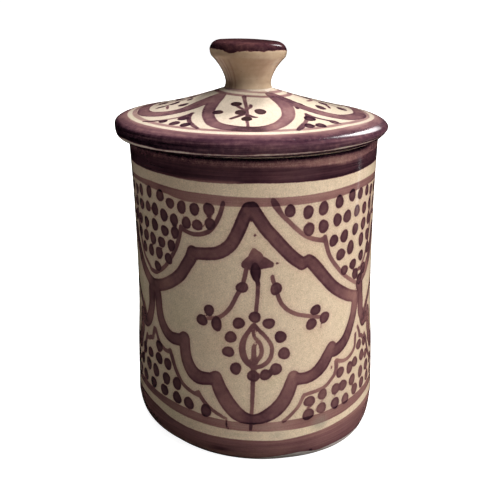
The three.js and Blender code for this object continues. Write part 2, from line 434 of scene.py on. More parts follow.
# A panel's strokes as (turn in degrees from its middle, height, wetness, width): its bold lobed frame,
# clockwise from the peak, then the fine lines outside the frame and the sprig inside it.
LOBED_STROKES = [
    [(-1, 134.3, 1.8, 6.3), (4.3, 125, 1.7, 6.3), (8, 120, 1.6, 6.3), (11.8, 115, 1.65, 6.3),
     (16, 110, 1.75, 6.3), (20.2, 106.3, 1.75, 6.2)],
    [(23, 107.6, 1.7, 6), (24.8, 106, 1.75, 6.2), (27.8, 102, 1.7, 6.4), (31.5, 97, 1.6, 6.3),
     (35.5, 92, 1.65, 6.3), (39.5, 88.3, 1.5, 6.3), (43.5, 85.3, 1.35, 6.3), (47.5, 82.8, 1.15, 6.2),
     (51.5, 81, 0.9, 6)],
    [(51.8, 80, 0.9, 6), (51.2, 74, 1.05, 6.2), (50, 70, 1.25, 6.2), (47.8, 65.5, 1.5, 6.3),
     (45, 61, 1.6, 6.5), (42, 58.3, 1.8, 6.7), (38.5, 56.7, 1.75, 6.8), (36, 56.8, 1.5, 6.5)],
    [(35.4, 59, 1.2, 6.6), (33.4, 55.8, 1.4, 7), (31.5, 52.7, 1.6, 7.4), (29, 49.8, 1.75, 7.2),
     (26, 47.7, 1.7, 6.8), (22.5, 46.6, 1.5, 6.5), (19, 46.8, 1.35, 6.3), (17, 47.8, 1.2, 6)],
    [(16.2, 48.8, 1, 6), (15.2, 45, 1.2, 6.8), (14, 41.2, 1.35, 7.2), (12.3, 37, 1.35, 7.5),
     (10.2, 33.6, 1.4, 7.7), (7.5, 30.6, 1.6, 7.6), (4.5, 28.4, 1.8, 7), (1.5, 27, 1.9, 6),
     (-2, 26.5, 1.95, 5.6)],
    [(-17, 48.6, 1.25, 6), (-15.9, 44, 1.3, 7.2), (-14.4, 40, 1.3, 7.8), (-12.6, 36.2, 1.2, 8),
     (-10.3, 32.4, 1.25, 8), (-7.7, 29.2, 1.45, 7.6), (-4.5, 27.2, 1.7, 6.4), (-1, 26.4, 1.95, 5.6)],
    [(-32.4, 65.3, 1.2, 6.6), (-32.2, 61, 1.2, 6.7), (-31.8, 57.5, 1.2, 6.7), (-31.2, 54.5, 1.25, 7),
     (-29.8, 51, 1.35, 7.4), (-27.8, 48, 1.45, 7.8), (-25.2, 46.4, 1.6, 7.9), (-22, 46.4, 1.6, 7),
     (-18.8, 47, 1.4, 6.4)],
    [(-51.5, 87.2, 1.75, 6.8), (-49.3, 84, 1.6, 6.3), (-48.6, 80, 1.4, 6), (-48.3, 76, 1.15, 6),
     (-47.3, 71, 1.1, 6.2), (-45.4, 67.3, 1.2, 6.4), (-42.6, 64.2, 1.55, 6.6), (-39, 62.9, 1.55, 6.6),
     (-34.5, 63.6, 1.35, 6.5)],
    [(-27, 111.2, 1.65, 6.2), (-28, 107.8, 1.65, 6.4), (-30.5, 103.5, 1.55, 6.3),
     (-33.5, 98.5, 1.5, 6.3), (-37.5, 94.5, 1.3, 6.3), (-42, 91.2, 1.1, 6.2),
     (-46.5, 88.9, 1.15, 6.2), (-50.5, 87.8, 1.7, 6.2)],
    [(-27, 110.6, 1.6, 6), (-20, 111.3, 1.6, 6.2), (-15, 112.5, 1.4, 6.3), (-10.5, 116, 1.5, 6.3),
     (-8.1, 120, 1.75, 6.3), (-6, 125, 1.9, 6.3), (-4.2, 130, 1.95, 6.3), (-2.4, 134, 1.85, 6.3)],
]
OUTER_STROKES = [
    [(-12.6, 136.3, 1, 2.1), (-14, 131, 1.6, 2.2), (-16, 126.5, 1.6, 2.2), (-18.5, 122.8, 1.55, 2.2),
     (-22, 120.7, 1.25, 2.2), (-26, 119.9, 1.3, 2.1), (-30, 120.8, 1.35, 2.1),
     (-32.3, 122.3, 1.35, 2.1)],
    [(-32.3, 122.5, 1.35, 2.3), (-34.5, 114, 1.4, 2.3), (-37.8, 107, 1.4, 2.2),
     (-41.5, 101.5, 1.2, 2.1), (-44, 98.7, 1.1, 2.1), (-47, 96.3, 1.2, 2.1), (-50, 94.6, 1.3, 2.2),
     (-53, 94.6, 1.3, 2.1)],
    [(7.5, 137.7, 0.9, 2.6), (8.6, 135.3, 1.1, 3.4), (9.4, 133.8, 1.4, 2.8), (11, 131, 1.2, 2.3),
     (14, 127.5, 1.1, 2.2), (17.5, 123.5, 0.95, 2.2), (21, 120.2, 1, 2.2), (25, 117.8, 1, 2.2),
     (30, 116.2, 1.3, 2.3)],
    [(30.8, 117.5, 1.3, 2.7), (31.5, 115, 1.35, 2.6), (32.5, 111, 1.35, 2.4), (33.8, 107.5, 1.3, 2.3),
     (36, 103.8, 1.1, 2.2), (40, 98.5, 0.95, 2.2), (43, 95.2, 0.9, 2.1), (50, 89.5, 0.85, 2.1),
     (54, 87.3, 0.8, 2.1)],
    [(52.5, 59.3, 1.2, 2.3), (52, 55.5, 1.1, 2.1), (51.4, 52.6, 1.2, 2.1), (49.3, 50.5, 1.1, 2.1),
     (46.8, 49.2, 0.95, 2.1), (43.9, 48.7, 0.85, 2.1), (41, 49.4, 0.85, 2.1), (38.1, 50.9, 0.9, 2.1)],
    [(37.8, 50.3, 1, 2.3), (38.2, 47.5, 1.1, 2.7), (37.1, 43.7, 1.1, 2.3), (34.9, 41.5, 1.1, 2.1),
     (32.4, 39.3, 1, 2.1), (29.9, 38.3, 0.85, 2.1), (24.8, 37.7, 0.95, 2.1), (21.2, 37.4, 0.9, 2.1)],
    [(20.9, 37.3, 0.9, 2.2), (19.6, 34.3, 0.8, 1.9), (18.2, 31.4, 0.85, 1.8), (14.2, 26.8, 1.1, 1.9),
     (11.7, 24.6, 0.9, 2.1)],
    [(-51.5, 63, 1.2, 1.9), (-49.7, 59, 1.3, 2.2), (-48.5, 57, 1.3, 2.4), (-46.5, 55.5, 1.2, 2.3),
     (-44, 54.3, 1.2, 2.2), (-41.3, 54.4, 1.1, 2.2)],
    [(-40.7, 55.5, 1.3, 2.3), (-39, 50.8, 1.45, 2.7), (-37.8, 47.6, 1.45, 2.4),
     (-34.8, 41.8, 1.4, 2.4), (-33.4, 40, 1.35, 2.4), (-31.3, 38.4, 1.25, 2.3),
     (-28.8, 37.1, 1.2, 2.2), (-25.2, 36.1, 1.2, 2.2)],
    [(-25.3, 38, 1.2, 2.1), (-23.3, 34.3, 1.25, 2.3), (-21.5, 32.1, 1.3, 2.2),
     (-19.7, 30.3, 1.25, 2.1), (-16.7, 28.2, 1.15, 2), (-12.6, 25.8, 0.9, 1.7)],
]
SPRIG_STROKES = [
    [(1.3, 98.5, 1.6, 2.1), (1, 92, 1.45, 1.9), (0.3, 83.5, 1.4, 1.9)],
    [(-1, 55, 1.6, 2.3), (-1.2, 47.5, 1.5, 2.2), (-1.4, 40, 1.25, 2.1), (-1.7, 32, 1.2, 1.8),
     (-2.1, 24, 1.2, 1.7), (-2.3, 20.5, 1.5, 1.3)],
    [(-3.6, 105, 1.35, 2.1), (-5.4, 96, 1.4, 2.1), (-7.2, 93, 1.35, 2.1), (-9.7, 87, 1.25, 2.1),
     (-11.5, 84, 1.15, 2.1), (-13.8, 81.3, 1, 2.1), (-16, 79.7, 1, 2.1), (-20.5, 78.6, 0.9, 2)],
    [(7.2, 101.4, 1.2, 2), (7.5, 99.5, 1.3, 2), (8.8, 95.5, 1.4, 2.1), (9.6, 91.5, 1.4, 2.1),
     (11, 87.7, 1.2, 2.1), (13.5, 84.3, 1.05, 2.1), (17, 81.6, 1, 2.1), (21, 79.9, 0.95, 2.1),
     (25, 78.6, 1, 2.1), (29, 77.3, 1.1, 2.1)],
    [(-0.5, 77.3, 1.5, 2.1), (-1.5, 76, 1.5, 2.1), (-3.5, 72.5, 1.35, 2.3), (-5, 69, 1.3, 2.9),
     (-5.6, 65, 1.3, 3.3), (-5.1, 61, 1.4, 3.3), (-3.8, 58, 1.5, 3.1), (-1.5, 55.5, 1.6, 2.7)],
    [(-0.5, 77.3, 1.5, 2.1), (1, 75, 1.45, 2), (3.5, 72, 1.25, 2), (5.5, 69, 1.1, 2),
     (6.8, 66, 1.05, 2), (7, 63, 1.1, 2.1), (6.2, 59.5, 1.15, 2.2), (4.6, 57.2, 1.2, 2.3),
     (2.4, 55.5, 1.4, 2.2), (-0.3, 54.9, 1.6, 2.1)],
    [(-0.8, 74, 1.4, 1.6), (-0.5, 71, 1.3, 1.7), (1.6, 68, 1.15, 2), (2.6, 65, 1.1, 2),
     (2.4, 61.5, 1.1, 2.1), (1.2, 59.3, 1.35, 2.1), (-0.2, 57.2, 1.5, 2.1)],
    [(-0.6, 66.3, 1.1, 2.1), (-0.7, 63, 1.25, 2.4), (-0.8, 58, 1.45, 2.4)],
    [(-0.5, 115.2, 1.05, 1.4), (-0.1, 112.8, 1.15, 4.4), (0.4, 110.4, 1.3, 7.6),
     (0.6, 109.2, 1.45, 8.6)],
    [(-4.1, 107.3, 1.6, 3.6), (-2.2, 108.2, 1.6, 6), (0.6, 108.4, 1.7, 7.2), (3.4, 108.3, 1.6, 5.8),
     (6.6, 107.3, 1.65, 3)],
]
BUD_HEART = [
    (0, 107.2, 1.7, 3), (0.2, 104.8, 2.35, 5), (0.3, 103, 2.45, 4.8), (0.6, 101, 2.35, 3.6),
    (0.9, 99.5, 2.1, 2.4), (1.3, 97.5, 1.7, 2),
]

# Dots as (turn, height, width of the dot, height of the dot).
SPRIG_DOTS = [
    (-5.4, 96.1, 5.7, 5.2), (8.8, 95.2, 5.4, 6), (-19.9, 82.9, 5.1, 5.5), (-23.3, 77.2, 5.6, 5.5),
    (-16.6, 76.5, 5.1, 7.4), (26.9, 81.5, 5.6, 5.2), (24.8, 74.6, 5.9, 5.6), (31.5, 76.4, 5.6, 5.8),
    (-0.2, 81.1, 5.6, 5.4), (-7, 77.8, 5.6, 5.6), (5.7, 77.7, 5.6, 5.3), (-10.5, 70.3, 5.8, 5.6),
    (10.7, 70.3, 5.6, 6), (-11.6, 62.5, 5.6, 5.3), (12.2, 61.5, 5.6, 6.2), (-8.4, 54, 5.3, 6.1),
    (-1.1, 50.4, 5.4, 5.9), (4.1, 50.9, 5.5, 5.4), (8.6, 53.6, 5.4, 6.2), (0.2, 121.7, 1.1, 1.3),
    (9.3, 107.7, 1.1, 1.1), (29.5, 72.2, 1, 1.2), (35.3, 48.1, 1, 1.3),
]
LEFT_CORNER_DOTS = [
    (-77, 134, 5, 5.4), (-71, 133.6, 5, 5.4), (-65, 133.5, 4.6, 5), (-59.7, 134.3, 4.3, 5.5),
    (-51.8, 135.3, 4.7, 5.5), (-43.8, 135.2, 5.6, 5.4), (-37.8, 132.7, 5.1, 5), (-31.6, 132, 5, 6),
    (-25.3, 132, 5.1, 5.6), (-18.8, 132.7, 5.3, 6), (-73, 126.6, 5, 5.4), (-66.5, 127, 5, 5.4),
    (-60, 127, 5.6, 5.5), (-53.6, 127.5, 4.7, 5), (-48, 127.5, 5.4, 5.8), (-42, 126, 5.2, 5.8),
    (-36, 125.2, 5.2, 5.2), (-29.5, 124.8, 5.2, 5.4), (-24.2, 124.6, 5.3, 5), (-18.4, 125.9, 5.4, 5.4),
    (-68.5, 119, 5, 5.4), (-62.5, 119, 5, 5.4), (-55.8, 119, 4.9, 5.2), (-48.8, 119.6, 5.3, 5.8),
    (-41.9, 118.3, 5.3, 5), (-35.8, 118.8, 4.9, 5.6), (-63.5, 112, 5, 5.4), (-57, 112, 5.6, 5.5),
    (-50.8, 112, 5.2, 5.8), (-44.4, 111.9, 5.3, 5.2), (-38.2, 111.8, 5, 5.6), (-59, 105.2, 4.8, 5.2),
    (-52.8, 105.3, 5.1, 5.5), (-46.5, 105.8, 5.6, 5.8), (-40.3, 104.6, 5, 5.4), (-48, 98.4, 5.5, 5),
    (-76, 30.5, 5, 6), (-69, 30.8, 5, 6), (-61.9, 31, 6, 6.4), (-53.4, 31, 5.8, 6),
    (-44.8, 31.1, 5.5, 6.2), (-36.7, 30.4, 5.5, 6.2), (-30.2, 29.9, 5.6, 6.5), (-21.7, 28.6, 5.4, 7),
    (-72.5, 38.6, 5, 6), (-65.7, 39, 5.6, 6), (-57.8, 39.9, 5.6, 6.8), (-51.2, 39.3, 5.5, 7),
    (-43.3, 38.5, 5.5, 6.4), (-36.6, 38.6, 5.4, 6.8), (-62.4, 47, 5, 6), (-56, 47.4, 5.5, 5.5),
    (-48.6, 47.6, 5.8, 5.9), (-42.3, 47.2, 5.1, 6.3), (-48.5, 54.5, 5.5, 5.9),
]
RIGHT_CORNER_DOTS = [
    (14.5, 132.4, 5.2, 5.6), (22.5, 131, 5.4, 6), (29.8, 131.7, 5.5, 6.3), (38.3, 133.3, 5.3, 6),
    (46.5, 134.7, 5.2, 5.8), (53, 134, 5, 5.4), (59.8, 134, 4.6, 5.2), (65.5, 133, 4.8, 5.4),
    (71.5, 133, 5, 5.4), (77.5, 133.4, 5, 5.4), (23, 122.7, 5.9, 6), (30, 123, 5.6, 6.3),
    (37.5, 124.7, 5.4, 6), (43.7, 125, 5.6, 6.1), (50.8, 126, 5.4, 5.4), (57.8, 125.7, 4.9, 6),
    (64.5, 126, 4.7, 6.5), (71, 125.8, 5, 5.4), (35.8, 114.8, 5.5, 5.5), (42.2, 115.5, 5.5, 6),
    (50, 117, 5.4, 5.6), (57.5, 117.7, 5.4, 6), (64, 118.5, 5.5, 6.5), (40.2, 106.7, 6, 5.7),
    (46.8, 108.5, 5.6, 6.6), (55.8, 110, 5.4, 6.5), (63, 110.5, 6, 5.6), (42.9, 97.8, 5.4, 4.8),
    (49.2, 99, 5.6, 5.2), (56.3, 101.3, 5.3, 5.5), (64, 103, 6, 6), (51.3, 93.2, 5.6, 5.4),
    (59.2, 93.5, 6, 6), (55.5, 89, 5.6, 6), (23, 25.9, 6, 6.3), (29.6, 27.3, 5.4, 6),
    (37.3, 26.9, 5.4, 6.4), (43.9, 26.4, 5.2, 6.2), (51, 28.4, 5.3, 6.5), (57.9, 28.4, 5.6, 5.8),
    (64.8, 28.6, 5.6, 6), (71.5, 28.6, 5, 6), (78, 28.4, 5, 6), (23.6, 33.1, 6, 5.6),
    (30.2, 34.9, 5.4, 5.6), (37.6, 35, 5.4, 6.2), (42.3, 35, 5.6, 6), (49, 34.9, 5.4, 6),
    (56.7, 35.6, 5.3, 6.3), (63.7, 35.9, 6, 6.2), (70.5, 36, 5, 6), (40.5, 43.3, 5.6, 5.5),
    (47.1, 42.9, 5.1, 6.3), (51.3, 44.2, 5.1, 5.4), (58.1, 44.7, 5.6, 6), (63, 43, 4.6, 5),
    (55.4, 52.1, 5.4, 5.2), (61, 51.2, 4.5, 5),
]

# Panels as (turn of the middle, share of the front panel's width, -1 where mirrored).
PANELS = [(0, 1, 1), (90, 0.68, 1), (180, 1, -1), (-90, 0.73, -1)]
HAND_SHAKE = 0.4
LEAF_SHAKE = 0.3
LEAVES = 7
LEAF_DOTS = 5
DOT_WET = (1.55, 1.85)


def moved(points, squeeze, mirror, shake):
    """A panel's stroke in millimetres from the panel's middle."""
    points = np.array(points, float)
    points[:, 0] *= squeeze * mirror * MM_PER_DEGREE
    points[:, :2] += hand.normal(0, 1, (len(points), 2)) * shake
    return points


def degrees_from(middle, turns):
    """How far turns lie from a middle one, the short way round."""
    return (turns - middle + 180) % 360 - 180


def seen_from(middle):
    """Where every vertex lies from a turn of the jar: millimetres across and up."""
    return np.stack([degrees_from(middle, jar_turn) * MM_PER_DEGREE, paint_height], axis=1)


bold = new_coat(jar)
fine = new_coat(jar)
dots = new_coat(jar)
for middle, squeeze, mirror in PANELS:
    spots = seen_from(middle)
    shake = 0 if middle == 0 else HAND_SHAKE
    for line in LOBED_STROKES:
        stroke(bold, spots, moved(line, squeeze, mirror, shake))
    for line in OUTER_STROKES:
        stroke(fine, spots, moved(line, squeeze, mirror, shake))
    if squeeze < 1:
        # The narrow panels hold two fans of leaves instead of a sprig.
        for side in (-1, 1):
            for leaf in range(LEAVES):
                root = (side * (34 - 0.6 * leaf), 64 + 0.7 * leaf, 1.5, 3.3)
                half_way = (side * (32 - 2.9 * leaf), 69 + 2.6 * leaf, 1.2, 3)
                tip = (side * (27 - 4.2 * leaf), 70 + 4.4 * leaf, 1, 1.7)
                stroke(fine, spots, moved([root, half_way, tip], 1 / MM_PER_DEGREE, mirror, LEAF_SHAKE))
        stem = [(0, 112, 1.5, 2.1), (1, 90, 1.3, 1.9), (0, 60, 1.2, 1.9), (0, 30, 1.5, 2.1)]
        stroke(fine, spots, moved(stem, squeeze, mirror, LEAF_SHAKE))
        for row in range(LEAF_DOTS):
            for side in (-1, 1):
                spot = (side * (6.5 + 2 * math.sin(row)), 100 - 9.5 * row)
                dab(dots, spots, spot, 5.4, 5.6, hand.uniform(*DOT_WET))
        continue
    for line in SPRIG_STROKES:
        stroke(fine, spots, moved(line, squeeze, mirror, shake))
    stroke(dots, spots, moved(BUD_HEART, squeeze, mirror, shake))
    for turn, height, wide, tall in SPRIG_DOTS:
        centre = moved([(turn, height)], squeeze, mirror, shake)[0]
        dab(dots, spots, centre, wide, tall, hand.uniform(*DOT_WET))

UPPER_CORNERS = 70
for corner_dots, high_wet, low_wet in [(LEFT_CORNER_DOTS, 1.75, 1.9), (RIGHT_CORNER_DOTS, 1.82, 1.42)]:
    for turn, height, wide, tall in corner_dots:
        wet = (high_wet if height > UPPER_CORNERS else low_wet) + hand.uniform(-0.12, 0.12)
        for place, shake in [(turn, 0), (180 - turn, HAND_SHAKE)]:
            centre = np.array([0, height]) + hand.normal(0, 1, 2) * shake
            dab(dots, seen_from(place), centre, wide, tall, wet)

# Bands, painted while the jar spun. Heights of their edges and their wetness change a little round the jar.
BAND_TURNS = (-60, -50, -40, -30, -20, -10, 0, 10, 20, 30, 40, 50, 60, 180)


def round_jar(values):
    """A value for every vertex from the values at the turns above."""
    return np.interp(jar_turn, BAND_TURNS, values, period=360)


def round_piece(turn, pairs):
    """A value for every vertex from pairs of (turn, value) that go round the piece."""
    turns, values = zip(*pairs)
    return np.interp(turn, turns, values, period=360)


def eased(value, low, high):
    """0 at low, 1 at high and a smooth climb between them."""
    share = np.clip((value - low) / (high - low), 0, 1)
    return share * share * (3 - 2 * share)


# The top band has a wet lower coat and a thinner one above the split, which is also made lighter in the
# middle as painted light under the lid's overhang. The dark bead just under the lip, but for the far right,
# is painted shadow of the lid.
split = round_jar(
    (152.5, 152.8, 153, 153, 152.9, 152.7, 152.5, 152.4, 152.2, 151.8, 151.2, 151.8, 152.5, 152.4)
)
above_split = eased(paint_height, split - 0.5, split + 0.5)
patch_end = np.interp(paint_height, (146, 147.5, 149, 150.5, 152.3), (25, 24.5, 27.5, 28.5, 21))
patch = eased(jar_turn, 9.6, 10.6) * eased(patch_end - jar_turn, -0.6, 0.6) * (1 - above_split)
patch *= eased(paint_height, 145.8, 146.4)
fringe = (1 - eased(paint_height, 145.8, 146.8)) * eased(jar_turn, -52, -42) * (1 - eased(jar_turn, -8, -3))
lower_wet = round_jar((2.3, 2.35, 2.5, 2.5, 2.15, 2.1, 2.4, 2, 2.1, 2.4, 2.2, 2.35, 2.3, 2.3))
lower_wet -= 0.15 * patch + 0.9 * fringe
# Painted shadow of the lid just under the lip, but for the far right.
lid_shadow_wet = 2.4 * eased(paint_height, LIP_FOOT - 1, LIP_FOOT) * eased(np.abs(jar_turn - 75), 10, 25)
# The thinner coat above the split, also made lighter in the middle as painted light under the lid's overhang.
upper_wet_and_light = round_jar((1.85, 1.85, 1.65, 1.65, 1.45, 1.25, 1.15, 1, 1, 0.9, 0.9, 1.2, 1.35, 1.4))

# The bottom band is thinner near the foot at the left, as painted light on the jar's lower left, and thicker
# near the foot at the right.
foot_painted_light = round_piece(
    jar_turn,
    [
        (-90, 2.2), (-50, 2.2), (-38, 1.6), (-25, 1.1), (0, 0.9), (12, 0.2), (19, -0.5), (45, -0.8),
        (60, -0.4), (80, 0.5), (180, 0.5),
    ],
)
base_wet = round_jar((1.25, 1.25, 1.25, 1.25, 1.25, 1.3, 1.25, 1.2, 1.15, 1, 1.1, 1.1, 1.05, 1.2))
base_wet += 0.8 * np.exp(-(((jar_turn + 16) / 5) ** 2) - ((paint_height - 7) / 1.6) ** 2)
# Painted light: thinner paint near the foot at the left, thicker at the right.
base_wet -= 0.4 * (1 - eased(paint_height, 3, 9)) * foot_painted_light
base_wet += 0.22 * (1 - eased(paint_height, 9, 14)) * eased(jar_turn, 8, 20) * eased(jar_turn, 75, 60)

# Bands as (heights of the lower edge, heights of the upper edge, wetness). The first runs past the lip and
# the last past the foot.
PAST_LIP = 160
PAST_FOOT = -5
BANDS = [
    (
        (146.2, 146, 145.9, 145.4, 145.2, 145.2, 145.8, 145.5, 145.4, 145.2, 145.3, 145.7, 146.2, 145.6),
        (PAST_LIP,) * len(BAND_TURNS),
        lower_wet * (1 - above_split) + upper_wet_and_light * above_split + lid_shadow_wet,
    ),
    (
        (138.3, 137.7, 137, 135.2, 135, 134.8, 134.8, 135, 135, 135.3, 135.9, 136.5, 136.8, 135.5),
        (140.6, 141.1, 140.6, 140, 139.9, 139.5, 139.2, 138.9, 139, 139.3, 139.8, 140.3, 140.6, 139.5),
        round_jar((0.85, 0.85, 0.95, 0.85, 0.8, 0.85, 0.85, 0.9, 0.9, 0.95, 1.05, 1.1, 1.05, 0.9)),
    ),
    (
        (23.7, 23.5, 22.3, 21.3, 20.5, 19.9, 19.6, 19.2, 18.9, 18.6, 18.9, 19.4, 20, 19.6),
        (27.8, 27.6, 27.2, 26.6, 25.4, 24.8, 24.4, 24.8, 24.7, 24.5, 24.7, 24.8, 24.9, 25),
        round_jar((1.1, 1.1, 1, 0.9, 0.9, 0.8, 0.85, 0.7, 1, 0.95, 1.05, 1.05, 1.05, 1)),
    ),
    (
        (PAST_FOOT,) * len(BAND_TURNS),
        (19.4, 18.8, 16.7, 15.4, 14.9, 14.7, 14.4, 13.8, 14.2, 14.5, 15, 15.2, 15.2, 14.5),
        base_wet,
    ),
]

# Grey smears where a finger or a drip dragged the wet paint, and one painted reflection, the grey haze over
# the lower right corner, as (turn, height, width, its height, depth).
SMEARS_AND_REFLECTIONS = [
    (29, 19.5, 4.5, 4.2, 1), (35, 30, 9, 9, 0.35), (9, 17, 3.5, 2.2, 0.45), (-8, 17.5, 6, 1.2, 0.3),
    (-1, 22, 9, 1.8, 0.45),
]
# Smears and one painted reflection, as a share of grey on every vertex.
smear = 0.5 * patch
for turn, height, wide, tall, depth in SMEARS_AND_REFLECTIONS:
    far = ((jar_turn - turn) / wide) ** 2 + ((paint_height - height) / tall) ** 2
    smear = np.maximum(smear, depth * np.exp(-(far**1.6)))

bands = new_coat(jar)
all_jar = np.arange(len(jar.points))
for low, high, wet in BANDS:
    inside = np.minimum(paint_height - round_jar(low), round_jar(high) - paint_height)
    inside = np.where(jar_outside, inside, NO_PAINT)
    lay(bands, all_jar, inside, wet - 0.45 * smear * (paint_height < UPPER_CORNERS))

# One slip of the brush across the lower band, and a chip at the foot where paint gathered.
SLIP_STROKE = [(-12.6, 23.7, 1.6, 0.9), (-12.4, 22, 1.8, 1), (-12, 20.2, 1.9, 0.9)]
stroke(fine, seen_from(0), moved(SLIP_STROKE, 1, 1, 0))
dab(dots, seen_from(0), (24.5 * MM_PER_DEGREE, 3.6), 2, 1.6, 1)

# Bare clay: the foot, up to a glaze line that isn't level, and the top of the lip.
LIP_GLAZE_END = JAR_HEIGHT - 0.45
glaze_line = round_piece(
    jar_turn,
    [
        (-90, 1), (-8, 1.2), (5, 2.6), (14, 3.6), (19, 4.2), (28, 2.3), (36, 2.9), (45, 2.6), (60, 2),
        (90, 1.5), (180, 1.2),
    ],
)
bare_foot = np.where(jar_skin, glaze_line - jar_height, NO_PAINT)
bare_lip = np.minimum(jar_height - LIP_GLAZE_END, jar_radius - (RIM_RADIUS - RIM_WALL))
for name, coat in [("bold", bold), ("fine", fine), ("dots", dots), ("band", bands)]:
    jar.keep(name, coat)
jar.paint["speckle"] = above_split * jar_outside
jar.paint["smear"] = smear
jar.paint["bare"] = np.maximum(bare_foot, bare_lip)

# The foot was trimmed unevenly: in at the front left and out at the front right, where the heel is upright.
trim = round_piece(
    jar_turn,
    [
        (-90, -0.3), (-75, 0), (-60, 1.4), (-50, 2.2), (-40, 2.8), (-29, 2.4), (-10, 1.5), (0, 0.9),
        (14, 0.1), (25, -1.2), (36, -2.3), (45, -2.6), (55, -2.3), (62, -1.7), (75, -1), (90, -0.3),
    ],
)
trim *= np.clip(1 - jar_height / HEEL[1], 0, 1) ** 1.4 * jar_skin
trim *= np.clip((jar_radius - FOOT_RING_INSIDE) / (FOOT_RADIUS - FOOT_RING_INSIDE), 0, 1)
jar.points[:, :2] *= (1 - trim / np.maximum(jar_radius, 1))[:, None]

# The drying jar leaned a hair towards the left and went slightly out of round.
FOOT_SHIFT = 0.55
LEAN = -0.0085
jar_angle = np.radians(jar_turn)
waver = 1 + 0.0012 * np.cos(2 * jar_angle + 0.6) + 0.0008 * np.cos(3 * jar_angle + jar_height / 40)
jar.points[:, :2] *= waver[:, None]
jar.points[:, 0] += FOOT_SHIFT + LEAN * jar_height


class Wire:
    """One socket of a material's nodes. A sum written on it adds the Math node for it."""

    def __init__(self, tree, socket=None):
        self.tree = tree
        self.socket = socket

    def node(self, kind, settings, values, out=0):
        """Adds any node: its type, its settings, then the numbers or wires of its sockets."""
        added = self.tree.nodes.new("ShaderNode" + kind)
        for name, value in settings.items():
            if name == "stops":
                ramp = added.color_ramp.elements
                while len(ramp) < len(value):
                    ramp.new(0.5)
                for stop, (position, colour) in zip(ramp, value):
                    stop.position, stop.color = position, (*colour, 1)
            else:
                setattr(added, name, value)
        for name, value in values.items():
            if isinstance(value, Wire):
                self.tree.links.new(value.socket, added.inputs[name])
            else:
                added.inputs[name].default_value = value
        return Wire(self.tree, added.outputs[out])

    def maths(self, operation, first, second):
        return self.node("Math", {"operation": operation}, {0: first, 1: second})

    def __add__(self, other):
        return self.maths("ADD", self, other)

    def __sub__(self, other):
        return self.maths("SUBTRACT", self, other)

    def __mul__(self, other):
        return self.maths("MULTIPLY", self, other)

    def __radd__(self, other):
        return self.maths("ADD", other, self)

    def __rsub__(self, other):
        return self.maths("SUBTRACT", other, self)

    def __rmul__(self, other):
        return self.maths("MULTIPLY", other, self)

    def most(self, other):
        return self.maths("MAXIMUM", self, other)

    def least(self, other):
        return self.maths("MINIMUM", self, other)

    def rising(self, low, high):
        """0 below low, 1 above high, and a smooth climb between them."""
        values = {"Value": self, "From Min": low, "From Max": high}
        return self.node("MapRange", {"interpolation_type": "SMOOTHSTEP"}, values)

    def noise(self, scale, detail=2.0, stretch=(1, 1, 1)):
        """Noise on a place, about -0.5 to 0.5."""
        place = self.node("VectorMath", {"operation": "MULTIPLY"}, {0: self, 1: stretch})
        return self.node("TexNoise", {}, {"Vector": place, "Scale": scale, "Detail": detail}) - 0.5

    def between(self, thin, thick):
        """A colour between two, by this share."""
        return self.node("Mix", {"data_type": "RGBA"}, {0: self, 6: thin, 7: thick}, out=2)

    def filtering(self, layer):
        """The colour of a filter as deep as this number of layers, from the colour of one."""
        return self.node("VectorMath", {"operation": "POWER"}, {0: layer, 1: self})

    def blend(self, kind, other, share):
        """This colour mixed with another."""
        values = {0: share, 6: self, 7: other}
        return self.node("Mix", {"data_type": "RGBA", "blend_type": kind}, values, out=2)


CREAM = (0.74, 0.585, 0.42, 1)
CREAM_SHADE = (0.66, 0.505, 0.345, 1)
BARE_CLAY = (0.46, 0.40, 0.36, 1)
PIGMENT = (0.377, 0.234, 0.292)
DEEP_PIGMENT = (0.83, 1.10, 1.20)
CROSSING = 0.15
# The grey of the smears, also used for one painted reflection.
SMEAR_AND_REFLECTION_GREY = (0.62, 0.66, 0.70, 1)
GREEN_TINT = (0.965, 1.0, 0.955, 1)
PINK_TINT = (1.0, 0.965, 0.955, 1)


def new_finish(name):
    """An empty material and the wire that its nodes start from."""
    material = bpy.data.materials.new(name)
    material.use_nodes = True
    material.node_tree.nodes.clear()
    return material, Wire(material.node_tree)


def glazed(start, place, ground, density, bare=0.0, smear=0.0):
    """Glossy glaze over clay, darkened by pigment as a filter whose depth is density."""
    colour = ground.blend("MULTIPLY", density.filtering(PIGMENT), 1.0)
    colour = colour.blend("MULTIPLY", (density - 1).most(0.0).filtering(DEEP_PIGMENT), 1.0)
    colour = colour.blend("MULTIPLY", SMEAR_AND_REFLECTION_GREY, smear).blend("MIX", BARE_CLAY, bare)
    clay_grain = place.noise(1800, 4)
    glaze_skin = place.noise(330, 3)
    glaze_wave = place.noise(60, 1)
    height = (glaze_skin * 0.5 + glaze_wave * 1.6) * (1 - bare) + clay_grain * bare * 2.0
    bump = start.node("Bump", {}, {"Strength": 0.32, "Distance": 0.0003, "Height": height})
    rough = 0.10 + 0.10 * place.noise(140, 3) + density.least(3.0) * 0.02 + bare * 0.55
    values = {"Base Color": colour, "Roughness": rough, "IOR": 1.5, "Normal": bump}
    shader = start.node("BsdfPrincipled", {}, values)
    ending = start.tree.nodes.new("ShaderNodeOutputMaterial")
    start.tree.links.new(shader.socket, ending.inputs["Surface"])


def painted(start, name):
    """A value that the piece keeps on its vertices."""
    return start.node("Attribute", {"attribute_name": name}, {}, out=2)


def paint_layer(start, name, ragged, soft=0.28, rim=1.16, middle=0.88):
    """How fully a layer of paint covers: a sharp edge, and more pigment where its wet rim dried last."""
    edge = painted(start, name) + ragged * 0.4
    return edge.rising(-soft, soft) * (rim - (rim - middle) * edge.rising(0.3, 1.7))


